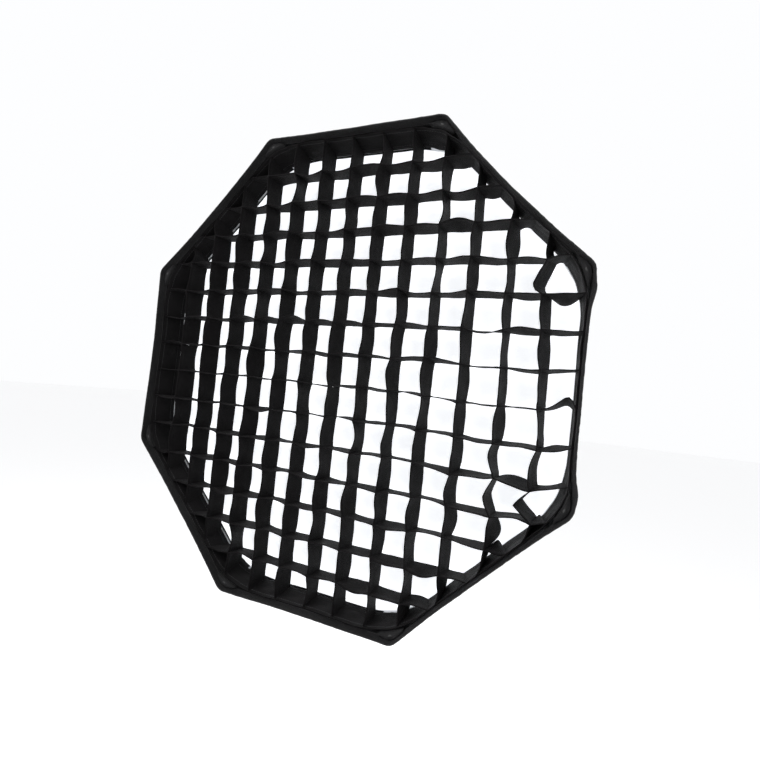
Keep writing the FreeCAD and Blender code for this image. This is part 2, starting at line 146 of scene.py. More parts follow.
def around(u, y, depth, rounding, tuck=0.0):
    """Points, outward normals and the distance along the section, u sides round from the middle of +X.

    tuck draws the corners in, where a band passes inside the rods."""
    u, y, rounding = np.broadcast_arrays(*(np.asarray(a, float) for a in (u, y, rounding)))
    side = np.floor(u + 0.5).astype(int) % SIDES
    s = 2 * (u + 0.5 - np.floor(u + 0.5)) - 1
    r = wall_radius(y, depth)
    straight = (r - rounding) * math.tan(HALF)
    reach = straight + rounding * HALF
    d = s * reach
    phi = np.clip((np.abs(d) - straight) / rounding, 0, HALF)
    sign = np.sign(d)
    angle = side * 2 * HALF
    n = np.stack([np.cos(angle), np.sin(angle)], -1)
    t = np.stack([-np.sin(angle), np.cos(angle)], -1)
    normal = n * np.cos(phi)[..., None] + t * (sign * np.sin(phi))[..., None]
    flat = n * r[..., None] + t * d[..., None]
    bent = n * (r - rounding)[..., None] + t * (sign * straight)[..., None] + rounding[..., None] * normal
    xz = np.where((phi > 0)[..., None], bent, flat)
    inward = sag(side, s, y) + tuck * bump(np.abs(d) - reach, 0.0, 0.030)
    xz = xz - normal * inward[..., None]
    a = wall_angle(y)
    points = np.stack([xz[..., 0], y, xz[..., 1]], -1)
    out = np.stack([normal[..., 0] * np.cos(a), np.sin(a), normal[..., 1] * np.cos(a)], -1)
    return points, out, side * 2 * reach + d


# ---------------------------------------------------------------- mesh builders
def finish_mesh(name, points, faces, uvs, materials, face_slots=None, sharp=50):
    mesh = bpy.data.meshes.new(name)
    mesh.from_pydata(points.tolist(), [], faces)
    if uvs is not None:
        layer = mesh.uv_layers.new(name="Cloth")
        layer.data.foreach_set("uv", np.array([c for face in uvs for c in face], np.float32).ravel())
    for m in materials:
        mesh.materials.append(m)
    if face_slots is not None:
        mesh.polygons.foreach_set("material_index", np.array(face_slots, np.int32))
    mesh.polygons.foreach_set("use_smooth", np.ones(len(mesh.polygons), bool))
    mesh.set_sharp_from_angle(angle=math.radians(sharp))
    mesh.update()
    piece = bpy.data.objects.new(name, mesh)
    bpy.context.scene.collection.objects.link(piece)
    return piece


def sheet_parts(middle, normal, half, uv, closed=False, keep=None):
    """The points, faces, uvs and material slots of a thick sheet on a grid: 0 outside, 1 inside.

    A closed grid's uv has one row more than its points. keep drops quads, as for a slot."""
    nu, nv = middle.shape[:2]
    points = np.concatenate([(middle + normal * half[..., None]).reshape(-1, 3),
                             (middle - normal * half[..., None]).reshape(-1, 3)])
    under = nu * nv
    faces, uvs, slots, border = [], [], [], {}
    for i in range(nu if closed else nu - 1):
        for j in range(nv - 1):
            if keep is not None and not keep[i, j]:
                continue
            k = (i + 1) % nu
            quad = (i * nv + j, k * nv + j, k * nv + j + 1, i * nv + j + 1)
            at = (uv[i, j], uv[i + 1, j], uv[i + 1, j + 1], uv[i, j + 1])
            faces += [quad, tuple(q + under for q in reversed(quad))]
            uvs += [at, tuple(reversed(at))]
            slots += [0, 1]
            for e in range(4):
                a, b = quad[e], quad[(e + 1) % 4]
                if (b, a) in border:
                    del border[(b, a)]
                else:
                    border[(a, b)] = (at[e], at[(e + 1) % 4])
    for (a, b), (ua, ub) in border.items():
        faces.append((b, a, a + under, b + under))
        uvs.append((ub, ua, ua, ub))
        slots.append(0)
    return points, faces, uvs, slots


def thick_sheet(name, middle, normal, half, uv, materials, closed=False, keep=None):
    half = np.broadcast_to(np.asarray(half, float), middle.shape[:2])
    points, faces, uvs, slots = sheet_parts(middle, normal, half, uv, closed, keep)
    if len(materials) == 1:
        slots = [0] * len(slots)
    used = sorted({q for face in faces for q in face})
    if len(used) < len(points):
        new = {q: i for i, q in enumerate(used)}
        points, faces = points[used], [tuple(new[q] for q in face) for face in faces]
    return finish_mesh(name, points, faces, uvs, materials, slots)


def join_parts(name, parts, material):
    """One piece out of several separate thick sheets."""
    points, faces, uvs, start = [], [], [], 0
    for part_points, part_faces, part_uvs, _ in parts:
        points.append(part_points)
        faces += [tuple(q + start for q in face) for face in part_faces]
        uvs += part_uvs
        start += len(part_points)
    return finish_mesh(name, np.concatenate(points), faces, uvs, [material])


def grid_uv(along, across):
    return np.stack(np.broadcast_arrays(along, across), -1)


STITCH, STITCH_GAP, THREAD_R = 0.0028, 0.0013, 0.00024
# A stitch's rings: place along it, size, and lift off the cloth.
STITCH_RINGS = ((0.0, 0.45, 0.1), (0.22, 1.0, 1.0), (0.78, 1.0, 1.0), (1.0, 0.45, 0.1))


def stitches(name, lines, material):
    """Rows of thread stitches: small rounded bars that lie on the lines. Each line is (points, normals)."""
    ring = [(math.cos(a), math.sin(a)) for a in np.arange(6) * math.pi / 3]
    points, faces = [], []
    for line, normals in lines:
        steps = np.linalg.norm(np.diff(line, axis=0), axis=1)
        s = np.concatenate([[0], np.cumsum(steps)])
        for start in np.arange(STITCH_GAP, s[-1] - STITCH, STITCH + STITCH_GAP):
            ends = [np.array([np.interp(q, s, line[:, c]) for c in range(3)])
                    for q in (start, start + STITCH)]
            up = unit(np.array([np.interp(start + STITCH / 2, s, normals[:, c]) for c in range(3)]))
            side = np.cross(up, unit(ends[1] - ends[0]))
            base = len(points)
            for at, size, lift in STITCH_RINGS:
                centre = ends[0] + (ends[1] - ends[0]) * at + up * (THREAD_R * lift)
                points += [centre + THREAD_R * size * (side * c + up * q) for c, q in ring]
            for row in range(3):
                for e in range(6):
                    a, b = base + row * 6 + e, base + row * 6 + (e + 1) % 6
                    faces.append((a, b, b + 6, a + 6))
            faces.append(tuple(base + e for e in reversed(range(6))))
            faces.append(tuple(base + 18 + e for e in range(6)))
    return finish_mesh(name, np.array(points), faces, None, [material], sharp=80)


# ---------------------------------------------------------------- materials
class Finish:
    """A material with one Principled BSDF, and short calls for the nodes that feed it."""

    def __init__(self, name, colour, roughness, **sockets):
        self.material = bpy.data.materials.new(name)
        self.material.use_nodes = True
        self.material.diffuse_color = (*colour, 1)
        tree = self.material.node_tree
        self.nodes, self.links, self.shader = tree.nodes, tree.links, tree.nodes["Principled BSDF"]
        sockets.update(Base_Color=(*colour, 1), Roughness=roughness)
        for socket, value in sockets.items():
            self.shader.inputs[socket.replace("_", " ")].default_value = value
        self.place = self.nodes.new("ShaderNodeTexCoord").outputs

    def math(self, operation, a, b=None):
        n = self.nodes.new("ShaderNodeMath")
        n.operation = operation
        for i, value in enumerate((a, b)):
            if hasattr(value, "links"):
                self.links.new(value, n.inputs[i])
            elif value is not None:
                n.inputs[i].default_value = value
        return n.outputs[0]

    def sine(self, value, spacing, operation="SINE"):
        return self.math(operation, self.math("MULTIPLY", value, 2 * math.pi / spacing))

    def split(self, vector):
        n = self.nodes.new("ShaderNodeSeparateXYZ")
        self.links.new(vector, n.inputs[0])
        return n.outputs

    def noise(self, scale, detail, rough=0.55):
        n = self.nodes.new("ShaderNodeTexNoise")
        n.inputs["Scale"].default_value = scale
        n.inputs["Detail"].default_value = detail
        n.inputs["Roughness"].default_value = rough
        self.links.new(self.place["Object"], n.inputs["Vector"])
        return n.outputs["Fac"]

    def colour(self, value, low, dark, high, light):
        """The surface's colour, from dark at low to light at high."""
        n = self.nodes.new("ShaderNodeValToRGB")
        for element, position, tone in zip(n.color_ramp.elements, (low, high), (dark, light)):
            element.position, element.color = position, (*tone, 1)
        self.links.new(value, n.inputs["Fac"])
        self.links.new(n.outputs["Color"], self.shader.inputs["Base Color"])

    def roughness(self, value, low, high):
        n = self.nodes.new("ShaderNodeMapRange")
        n.inputs["From Min"].default_value, n.inputs["From Max"].default_value = 0.3, 0.7
        n.inputs["To Min"].default_value, n.inputs["To Max"].default_value = low, high
        self.links.new(value, n.inputs["Value"])
        self.links.new(n.outputs["Result"], self.shader.inputs["Roughness"])

    def relief(self, height, distance):
        """Bumps this high, in metres, on top of those that are there already."""
        n = self.nodes.new("ShaderNodeBump")
        n.inputs["Strength"].default_value = 1.0
        n.inputs["Distance"].default_value = distance
        self.links.new(height, n.inputs["Height"])
        previous = self.shader.inputs["Normal"].links
        if previous:
            self.links.new(previous[0].from_socket, n.inputs["Normal"])
        self.links.new(n.outputs["Normal"], self.shader.inputs["Normal"])


def woven(name, dark, light, thread, roughness, depth, grid=None, crease=0.0, ribs=None, **sockets):
    """Plain-woven cloth. thread is the spacing of the yarns in metres; grid adds ripstop squares and ribs adds
    ribs, that far apart."""
    cloth = Finish(name, tuple((np.array(dark) + light) / 2), roughness, **sockets)
    across = cloth.split(cloth.place["UV"])
    weave = cloth.math("MULTIPLY", *[cloth.sine(across[axis], thread) for axis in (0, 1)])
    patches, fine = cloth.noise(9.0, 4.0), cloth.noise(260.0, 2.0)
    tone = cloth.math("ADD", cloth.math("MULTIPLY", patches, 0.7), cloth.math("MULTIPLY", fine, 0.3))
    cloth.colour(cloth.math("ADD", tone, cloth.math("MULTIPLY", weave, 0.10)), 0.30, dark, 0.72, light)
    cloth.roughness(patches, roughness - 0.10, roughness + 0.10)
    if crease:
        cloth.relief(cloth.noise(22.0, 5.0, 0.6), crease)
    if grid:
        lines = [cloth.math("POWER", cloth.math("ABSOLUTE", cloth.sine(across[axis], grid, "COSINE")), 40)
                 for axis in (0, 1)]
        cloth.relief(cloth.math("MAXIMUM", *lines), 0.00010)
    if ribs:
        cloth.relief(cloth.sine(across[1], ribs), 0.00022)
    cloth.relief(weave, depth)
    return cloth.material


def pile(name, dark, light, loops, height):
    """Hook or loop tape: a pile of small loops on a woven ground."""
    tape = Finish(name, light, 0.85, Specular_IOR_Level=0.15, Sheen_Weight=0.08)
    cells = tape.nodes.new("ShaderNodeTexVoronoi")
    cells.inputs["Scale"].default_value = loops
    tape.links.new(tape.place["UV"], cells.inputs["Vector"])
    tape.colour(tape.noise(700.0, 3.0, 0.7), 0.3, dark, 0.75, light)
    tape.relief(cells.outputs["Distance"], height)
    return tape.material


def metal(name, colour, roughness, grain=None, turned=None, spots=0.0, metallic=1.0):
    """Metal with a fine cast or drawn grain; turned adds lathe rings about the optical axis."""
    part = Finish(name, colour, roughness, Metallic=metallic)
    cloud = part.noise(45.0, 4.0)
    part.colour(cloud, 0.32, tuple(c * 0.80 for c in colour), 0.68, colour)
    part.roughness(cloud, roughness - 0.07, roughness + 0.09)
    if grain:
        part.relief(part.noise(grain, 3.0), 0.00006 + spots)
    if turned:
        x, _, z = part.split(part.place["Object"])
        squares = part.math("ADD", part.math("MULTIPLY", x, x), part.math("MULTIPLY", z, z))
        part.relief(part.sine(part.math("SQRT", squares), turned), 0.00001)
    return part.material


def plastic(name, dark, light, roughness, grain, height):
    part = Finish(name, light, roughness)
    cloud = part.noise(30.0, 4.0)
    part.colour(cloud, 0.3, dark, 0.7, light)
    part.roughness(cloud, roughness - 0.08, roughness + 0.08)
    part.relief(part.noise(grain, 2.0), height)
    return part.material


GRID_CLOTH = woven("grid_nylon", (0.0016, 0.0014, 0.0015), (0.0062, 0.0055, 0.0060), 0.0009, 0.62, 0.00010,
                   crease=0.0016, Specular_IOR_Level=0.05, Sheen_Weight=0.012, Sheen_Roughness=0.4)
BAND_CLOTH = woven("band_nylon", (0.0018, 0.0016, 0.0017), (0.0068, 0.0061, 0.0067), 0.0008, 0.58, 0.00010,
                   crease=0.0022, Specular_IOR_Level=0.06, Sheen_Weight=0.016, Sheen_Roughness=0.4)
SHELL_CLOTH = woven("shell_polyester", (0.0060, 0.0060, 0.0063), (0.0150, 0.0150, 0.0157), 0.0008, 0.52,
                    0.00010, crease=0.0010, Specular_IOR_Level=0.22, Sheen_Weight=0.05, Sheen_Roughness=0.4)
BINDING = woven("binding_tape", (0.0035, 0.0034, 0.0036), (0.0125, 0.0122, 0.0130), 0.0011, 0.50, 0.00018,
                ribs=0.0011, Specular_IOR_Level=0.12, Sheen_Weight=0.035, Sheen_Roughness=0.4)
SILVER = woven("silver_coating", (0.66, 0.67, 0.69), (0.84, 0.85, 0.86), 0.0008, 0.38, 0.00006,
               crease=0.0014, Metallic=0.75)
# The slight glow stands for the lamp's light behind the cloth, which is evenly near-white in the photograph.
DIFFUSER = woven("diffuser_ripstop", (0.89, 0.90, 0.92), (0.95, 0.955, 0.965), 0.0007, 0.75, 0.00004,
                 grid=0.0055, crease=0.0004, Specular_IOR_Level=0.2,
                 Emission_Color=(0.95, 0.97, 1.0, 1), Emission_Strength=0.80)
BAFFLE_CLOTH = woven("baffle_ripstop", (0.84, 0.85, 0.87), (0.92, 0.925, 0.935), 0.0007, 0.75, 0.00004,
                     grid=0.0055, crease=0.0004, Specular_IOR_Level=0.2)
ELASTIC = woven("elastic_webbing", (0.012, 0.012, 0.012), (0.035, 0.035, 0.036), 0.0014, 0.75, 0.00018,
                ribs=0.0016, Specular_IOR_Level=0.2, Sheen_Weight=0.12)
HOOKS = pile("hook_pile", (0.005, 0.005, 0.005), (0.016, 0.016, 0.017), 900.0, 0.0004)
LOOPS = pile("loop_pile", (0.006, 0.006, 0.006), (0.022, 0.022, 0.023), 420.0, 0.0006)
THREAD = woven("thread", (0.016, 0.016, 0.017), (0.045, 0.045, 0.048), 0.0004, 0.55, 0.00004)
WHITE_THREAD = woven("white_thread", (0.75, 0.75, 0.75), (0.90, 0.90, 0.90), 0.0004, 0.6, 0.00004)
STEEL_WIRE = metal("spring_wire", (0.42, 0.43, 0.45), 0.28, grain=900.0)
ZINC = metal("zinc_plate", (0.60, 0.61, 0.63), 0.30, grain=500.0)
SATIN = metal("satin_steel", (0.58, 0.59, 0.61), 0.30, turned=0.0006)
CAST = metal("tumbled_aluminium", (0.55, 0.56, 0.58), 0.42, grain=380.0, spots=0.00008)
POWDER = metal("powder_coat", (0.020, 0.020, 0.021), 0.46, grain=900.0, spots=0.00004, metallic=0.0)
KNOB = plastic("knob_nylon", (0.012, 0.012, 0.012), (0.026, 0.026, 0.027), 0.45, 1400.0, 0.00008)
NATURAL = plastic("natural_nylon", (0.62, 0.60, 0.55), (0.72, 0.70, 0.66), 0.40, 600.0, 0.00004)
CAP_RUBBER = plastic("cap_rubber", (0.012, 0.012, 0.012), (0.024, 0.024, 0.024), 0.70, 900.0, 0.00006)

FINISHES = {
    "bayonet_insert": SATIN, "insert_retainer": SATIN, "retainer_screws": ZINC, "speedring": POWDER,
    "rod_sockets": CAST, "socket_screws": ZINC, "lock_screw_1": KNOB, "lock_screw_2": KNOB,
    "lock_pad_1": NATURAL, "lock_pad_2": NATURAL, "rod_tip_caps": CAP_RUBBER, "baffle_snaps": ZINC,
    **{"rod_%d" % k: STEEL_WIRE for k in range(1, SIDES + 1)},
}
for node, finish in FINISHES.items():
    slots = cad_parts[node].data.materials
    slots.clear()
    slots.append(finish)


# ---------------------------------------------------------------- shell
FREE_FROM = -0.262                    # behind this the shell's cloth hangs free of the tapes inside it


def make_panel(k):
    """Side k of the shell: puckered along its seams, creased at its corners, a little loose between rods."""
    u, y = k + np.linspace(-0.5, 0.5, 51), np.linspace(RIM_Y + 0.002, REAR_Y, 101)
    u, yy = np.meshgrid(u, y, indexing="ij")
    # The last column belongs to the same side as the others, not to its neighbour.
    u[-1] = k + 0.5 - 1e-9
    points, out, along = around(u, yy, 0.0, corner_rounding(yy))
    s = np.linspace(-1, 1, len(u))[:, None]
    # Over the tapes the cloth lies flat and only lifts outward.
    free = 1 / (1 + np.exp(-(yy - FREE_FROM) / 0.007)) * (1 - bump(yy, REAR_Y, 0.010))
    crease = 0.0009 * waves(points, 0.12, 20 + k) + 0.00035 * waves(points, 0.035, 40 + k)
    to_seam = (1 - np.abs(s)) * wall_radius(yy) * math.tan(HALF)
    pucker = 0.0007 * np.sin(arc_length(yy) * 2 * math.pi / 0.024 + 2 * waves(points, 0.09, 50 + k))
    pucker = pucker * np.exp(-to_seam / 0.010) * (1 - np.exp(-to_seam / 0.003))
    to_rim = arc_length(yy) - arc_length(RIM_Y)
    from_corner = np.sqrt(to_seam**2 + to_rim**2)
    rays = np.sin(16 * np.arctan2(to_seam, to_rim + 0.004) + k) * bump(from_corner, 0.075, 0.035)
    lifted = 0.0005 * (1 + rays) * (from_corner > 0) * (1 - free) * bump(yy, -0.315, 0.024)
    sunk = (crease + 0.0014 + pucker - 0.0005 * rays) * ((1 - s**6) * free)
    middle = points - out * (CLOTH_HALF + 0.0001 + np.maximum(sunk, 0) - lifted)[..., None]
    uv = grid_uv(along, arc_length(yy))
    panel = thick_sheet("shell_panel_%d" % (k + 1), middle, out, CLOTH_HALF, uv, [SHELL_CLOTH, SILVER])
    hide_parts("side_panel_%d" % (k + 1))
    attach(panel, "softbox")


def corner_seams():
    """A bound seam along each corner, outside, with a row of stitches on each side of its ridge."""
    y = np.linspace(RIM_Y + 0.010, REAR_Y - 0.007, 90)
    across = np.linspace(-1, 1, 9)[:, None]
    width = 0.0052
    half_side = (wall_radius(y) - RIM_ROUND * 0.4) * math.tan(HALF) + 1e-6
    parts, lines = [], []
    for k in range(SIDES):
        u = k + 0.5 + across * width / (2 * half_side)
        yy = np.broadcast_to(y, u.shape)
        points, out, _ = around(u, yy, 0.0, corner_rounding(yy))
        ridge = 0.00095 * bump(across, 0, 0.30) + 0.00008 * waves(points, 0.02, 80 + k)
        middle = points + out * (CLOTH_HALF * 0.8 + ridge)[..., None]
        uv = grid_uv(across * width, arc_length(yy))
        parts.append(sheet_parts(middle, out, np.full(u.shape, CLOTH_HALF), uv))
        for i in (1, 7):
            lines.append((middle[i] + out[i] * CLOTH_HALF, out[i]))
    seams = join_parts("corner_seams", parts, BINDING)
    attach(seams, "softbox")
    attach(stitches("corner_stitches", lines, THREAD), "softbox")


def fold_profile(width, skin, panel, inner_extra):
    """The section of a folded tape as (along the wall, out of the wall): down the outer face, round the edge
    and up the inner face."""
    turn = np.linspace(math.pi / 2, -math.pi / 2, 9)
    r = panel / 2 + skin
    outer = [(w, r) for w in np.linspace(width, 0.0006, 7)]
    bend = [(-math.cos(a) * r * 0.9, math.sin(a) * r) for a in turn]
    inner = [(w, -r) for w in np.linspace(0.0006, width + inner_extra, 7)]
    return np.array(outer + bend + inner)


def fold_tape(name, y_edge, direction, width, inner_extra, node, seed):
    """A tape folded over the shell's edge, all the way round, stitched near each of its own edges."""
    section = fold_profile(width, 0.0007, 0.0011, inner_extra)
    u = once_round(60 * SIDES)
    uu, row = np.meshgrid(u, np.arange(len(section)), indexing="ij")
    y = y_edge + direction * section[:, 0][row]
    y_wall = np.clip(y, RIM_Y, REAR_Y)
    points, out, _ = around(uu, y_wall, 0.0, corner_rounding(y_wall))
    points[..., 1] += y - y_wall
    pucker = 0.00022 * waves(np.stack([np.cos(uu * HALF * 2), np.sin(uu * HALF * 2)], -1), 0.018, seed)
    offset = section[:, 1][row] - PANEL_T / 2
    middle = points + out * (offset + pucker)[..., None]
    tangent = np.roll(middle, -1, axis=1) - np.roll(middle, 1, axis=1)
    tangent[:, 0], tangent[:, -1] = middle[:, 1] - middle[:, 0], middle[:, -1] - middle[:, -2]
    ahead = np.roll(middle, -1, axis=0) - np.roll(middle, 1, axis=0)
    normal = unit(np.cross(tangent, ahead))
    if (normal[:, 0] * out[:, 0]).sum() < 0:
        normal = -normal
    steps = np.concatenate([[0], np.cumsum(np.linalg.norm(np.diff(section, axis=0), axis=1))])
    length = 2 * wall_radius(y_edge) * math.tan(HALF)
    uv = grid_uv(np.linspace(0, length * SIDES, len(u) + 1)[:, None], steps[None, :])
    tape = thick_sheet(name, middle, normal, TAPE_HALF, uv, [BINDING], closed=True)
    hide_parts(node)
    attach(tape, "softbox")
    lines = []
    for j in (1, len(section) - 2):
        up = looped(normal[:, j])
        lines.append((looped(middle[:, j]) + up * TAPE_HALF, up))
    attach(stitches(name + "_stitches", lines, THREAD), "softbox")


def tape_strips(name, node, span, depth, material, body):
    """Flat tape along each side, stopping short of the corners and stitched near each long edge."""
    corner_gap = 0.034
    reach = wall_radius(span[1], depth) * math.tan(HALF)
    ends = 0.5 * (reach - corner_gap) / reach
    parts, lines = [], []
    for k in range(SIDES):
        u, yy = np.meshgrid(np.linspace(k - ends, k + ends, 40), np.linspace(*span, 9), indexing="ij")
        points, out, along = around(u, yy, depth, RIM_ROUND)
        middle = points - out * (TAPE_T / 2)
        uv = grid_uv(along, arc_length(yy))
        parts.append(sheet_parts(middle, out, np.full(u.shape, TAPE_T * 0.42), uv))
        inward = -out
        for j in (1, 7):
            lines.append((middle[:, j] + inward[:, j] * TAPE_T * 0.42, inward[:, j]))
    strips = join_parts(name, parts, material)
    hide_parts(node)
    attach(strips, body)
    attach(stitches(name + "_stitches", lines, THREAD), body)


# ---------------------------------------------------------------- corner pockets and patches
def corner_point(k):
    """The directions outward through corner k and sideways there."""
    angle = (k + 0.5) * 2 * HALF
    return np.array([math.cos(angle), 0, math.sin(angle)]), np.array([-math.sin(angle), 0, math.cos(angle)])


def sleeve(k):
    """A flat sewn pouch over rod k's cap: its mesh parts and its stitched lines."""
    out_dir, side_dir = corner_point(k)
    turns = np.linspace(0, 2 * math.pi, 49)[:-1]
    mouth = [0.86, 0.92, 0.96, 0.985, 1.0]
    steps = np.concatenate([np.linspace(0, 0.86, 10), mouth[1:]])
    close = np.interp(steps, [0, *mouth], [1, 1, 0.97, 0.86, 0.5, 0.02])
    y = -0.3265 - 0.0285 * steps
    rod = ROD_TIP_R - (y - ROD_TIP_Y) * math.tan(math.radians(13))
    inner = rod - 0.0056 + 0.0006 * np.sin(math.pi * steps)
    outer = (wall_radius(y, 0.0024) - RIM_ROUND) / math.cos(HALF) + RIM_ROUND
    width = np.interp(steps, [0, 1], [0.0135, 0.0215])
    v = width * np.sin(turns)[:, None]
    near = np.abs(v) / width
    top = inner + (outer - 0.0004 - inner) * (1 - near**1.7)
    bottom = inner + 0.0004 * np.cos(math.pi * near)
    radial = np.where(np.cos(turns)[:, None] >= 0, top, bottom)
    centre = (inner + outer) / 2
    v, radial = v * close, centre + (radial - centre) * close
    middle = out_dir * radial[..., None] + side_dir * v[..., None]
    middle[..., 1] = y
    middle += out_dir * (0.00025 * waves(middle, 0.012, 90 + k) * close)[..., None]
    along_u = np.roll(middle, -1, axis=0) - np.roll(middle, 1, axis=0)
    normal = unit(np.cross(along_u, np.gradient(middle, axis=1)))
    axis_line = out_dir * centre[:, None] + np.array([0, 1, 0]) * y[:, None]
    if ((middle - axis_line)[:, :8] * normal[:, :8]).sum() < 0:
        normal = -normal
    uv = grid_uv(np.linspace(0, 0.090, len(turns) + 1)[:, None], steps[None, :] * 0.030)
    lines = [(middle[i, :10] + normal[i, :10] * TAPE_HALF, normal[i, :10]) for i in (17, 31)]
    lines.append((middle[16:33, 1] + normal[16:33, 1] * TAPE_HALF, normal[16:33, 1]))
    return sheet_parts(middle, normal, np.full(middle.shape[:2], TAPE_HALF), uv, closed=True), lines


def corner_cover(k, v, yy, width):
    """The shell's surface round corner k, out to this width on each side of it."""
    reach = (wall_radius(yy) - RIM_ROUND * 0.9) * math.tan(HALF)
    return around(k + 0.5 + v * width / (2 * reach), yy, 0.0, RIM_ROUND * 0.95)[:2]


def patch_pair(k):
    """Two rounded triangles, wide at the rim: one outside corner k and a larger one inside it. Gives their
    mesh parts and the outer one's stitched lines."""
    length = 0.046
    v, f = np.meshgrid(np.linspace(-1, 1, 25), np.linspace(0, 1, 14), indexing="ij")
    width = 0.030 * np.sqrt(np.clip(1 - f**1.8, 0.02, 1))
    points, out = corner_cover(k, v, RIM_Y + 0.0095 + length * f, width)
    middle = points + out * (0.0006 + 0.00012 * waves(points, 0.02, 120 + k))[..., None]
    outer = sheet_parts(middle, out, np.full(v.shape, PATCH_HALF), grid_uv(v * width, length * f))
    lines = [(middle[i, 1:-1] + out[i, 1:-1] * PATCH_HALF, out[i, 1:-1]) for i in (2, 22)]
    lines.append((middle[2:23, 12] + out[2:23, 12] * PATCH_HALF, out[2:23, 12]))
    down = length * (f * 1.25)
    width = 0.042 * np.sqrt(np.clip(1 - f**3.5, 0.02, 1))
    points, out = corner_cover(k, v, RIM_Y + 0.0105 + down, width)
    middle = points - out * (0.0020 - 0.00010 * waves(points, 0.02, 140 + k))[..., None]
    inner = sheet_parts(middle, out, np.full(v.shape, 0.0003), grid_uv(v * width, down))
    return [outer, inner], lines


def make_pockets():
    sleeves, patches, lines = [], [], []
    for k in range(SIDES):
        part, sewn = sleeve(k)
        sleeves.append(part)
        lines += sewn
        pair, sewn = patch_pair(k)
        patches += pair
        lines += sewn
    pockets = join_parts("pocket_sleeves", sleeves, BINDING)
    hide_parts("corner_pockets")
    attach(pockets, "softbox")
    patch = join_parts("corner_patches", patches, BINDING)
    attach(patch, "softbox")
    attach(stitches("patch_stitches", lines, THREAD), "softbox")


# ---------------------------------------------------------------- border bands
def band_surface(u, y, extra=0.0):
    """The border bands' outer surface; extra is measured inward."""
    return around(u, y, BAND_DEPTH + extra, BAND_ROUND, BAND_TUCK)


def band_loop(count, y, extra):
    """The x and z of a loop once round, this far inside the bands' outer surface."""
    u = once_round(count)
    return band_surface(u, np.full_like(u, y), extra)[0][:, [0, 2]]


def make_band(name, node, span, body, seed, swell, material, thread):
    """A border band: a hemmed strip all the way round, with a fold at each edge and soft puckers."""
    y_front, y_back = span
    u = once_round(44 * SIDES)
    f = np.concatenate([np.linspace(0, 0.16, 5), np.linspace(0.2, 0.8, 9), np.linspace(0.84, 1, 5)])
    uu, ff = np.meshgrid(u, f, indexing="ij")
    ring = np.stack([np.cos(uu * 2 * HALF), np.sin(uu * 2 * HALF), ff * 0.3], -1)
    ripple = 0.0009 * waves(ring, 0.16, seed) * (1 - ff) ** 1.5
    points, out, _ = band_surface(uu, y_front + (y_back - y_front) * ff + ripple * swell)
    half = 0.00048 + (0.00022 * (ff < 0.15) + 0.00016 * (ff > 0.85))
    pucker = 0.00045 * (1 + waves(ring, 0.10, seed + 1)) * (0.35 + (1 - ff)) * swell
    middle = points - out * (half + pucker)[..., None]
    uv = grid_uv(np.linspace(0, BAND_LENGTH, len(u) + 1)[:, None], (y_back - y_front) * f[None, :])
    band = thick_sheet(name, middle, out, half, uv, [material], closed=True)
    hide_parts(node)
    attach(band, body)
    lines = []
    for j in (4, 14):
        inward = -out[:, j]
        lines.append((looped(middle[:, j] + inward * half[:, j, None]), looped(inward)))
    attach(stitches(name + "_stitches", lines, thread), body)


# ---------------------------------------------------------------- egg-crate strips
SLOT = 0.00075                        # half the width of a half-lap slot
SEGMENT = 10                          # steps between two crossings
END_LAP = 0.0003                      # how far a strip's ends reach into the border band
STRIP_ROWS = np.array([0, 0.03, 0.14, 0.17, 0.33, 0.5, 0.66, 0.80, 0.90, 0.97, 1])


def strip_places(cells):
    return np.array([GRID_WIDTH / cells * (i - (cells - 2) / 2) for i in range(cells - 1)])


XS, ZS = strip_places(COLUMNS), strip_places(ROWS)

# The crossings wander a little, more at the free front edge than at the back.
CROSS = np.random.default_rng(11).normal(0, 1, (2, 2, len(XS), len(ZS)))

# Where the grid is pulled out of square at its right: crossing (column, row) and its shift in mm.
DRAGGED = {
    (12, 8): (1, -2), (12, 7): (3, -6), (12, 6): (4, -8), (12, 5): (8, -10), (12, 4): (3, -13),
    (12, 3): (8, -2), (11, 8): (2, -1), (11, 7): (4, -2), (11, 6): (5, -6), (11, 5): (5, -8),
    (11, 4): (6, -6), (11, 3): (6, -6), (11, 2): (5, -2), (10, 6): (1, -6), (10, 5): (2, -5),
    (10, 4): (2, -5), (10, 3): (1, -4), (10, 7): (1, -3), (12, 9): (-3, 0), (12, 10): (0, -2),
    (12, 2): (6, 4), (9, 6): (0, -3), (9, 5): (0, -3), (9, 4): (0, -2),
}
# Cells' sides that are bent over: upright or level, strip, segment before this crossing; how far the front
# and the back edge bulge in mm, and where along the segment (1 is the middle, less is nearer its start).
BENT = {
    (True, 12, 10): (-13, -11, 0.55), (True, 12, 4): (-20, -19, 1.0), (True, 12, 3): (1, 5, 1.0),
    (True, 12, 5): (-5, -4, 1.0), (True, 11, 5): (-6, -5, 1.3), (True, 11, 4): (-11, -8, 1.0),
    (True, 11, 3): (-1, 11, 0.9), (True, 10, 4): (-4, -2, 1.0), (True, 10, 3): (1, 5, 1.0),
    (True, 9, 12): (4, 2, 1.0), (True, 8, 5): (-4, -2, 1.0), (False, 9, 13): (0, -10, 1.0),
    (False, 6, 13): (15, 5, 2.6), (False, 4, 12): (-1, 6, 0.8), (False, 3, 13): (0, 3, 1.0),
    (False, 2, 12): (-3, 7, 1.3), (False, 12, 10): (-5, -2, 1.0), (False, 13, 9): (-4, -2, 1.0),
    (False, 5, 13): (-3, 2, 1.0), (True, 4, 13): (7, -3, 1.0), (False, 13, 5): (-6, 0, 1.0),
    (True, 3, 1): (7, -3, 1.0), (False, 0, 4): (5, 0, 1.0), (False, 10, 12): (3, 0, 1.0),
}


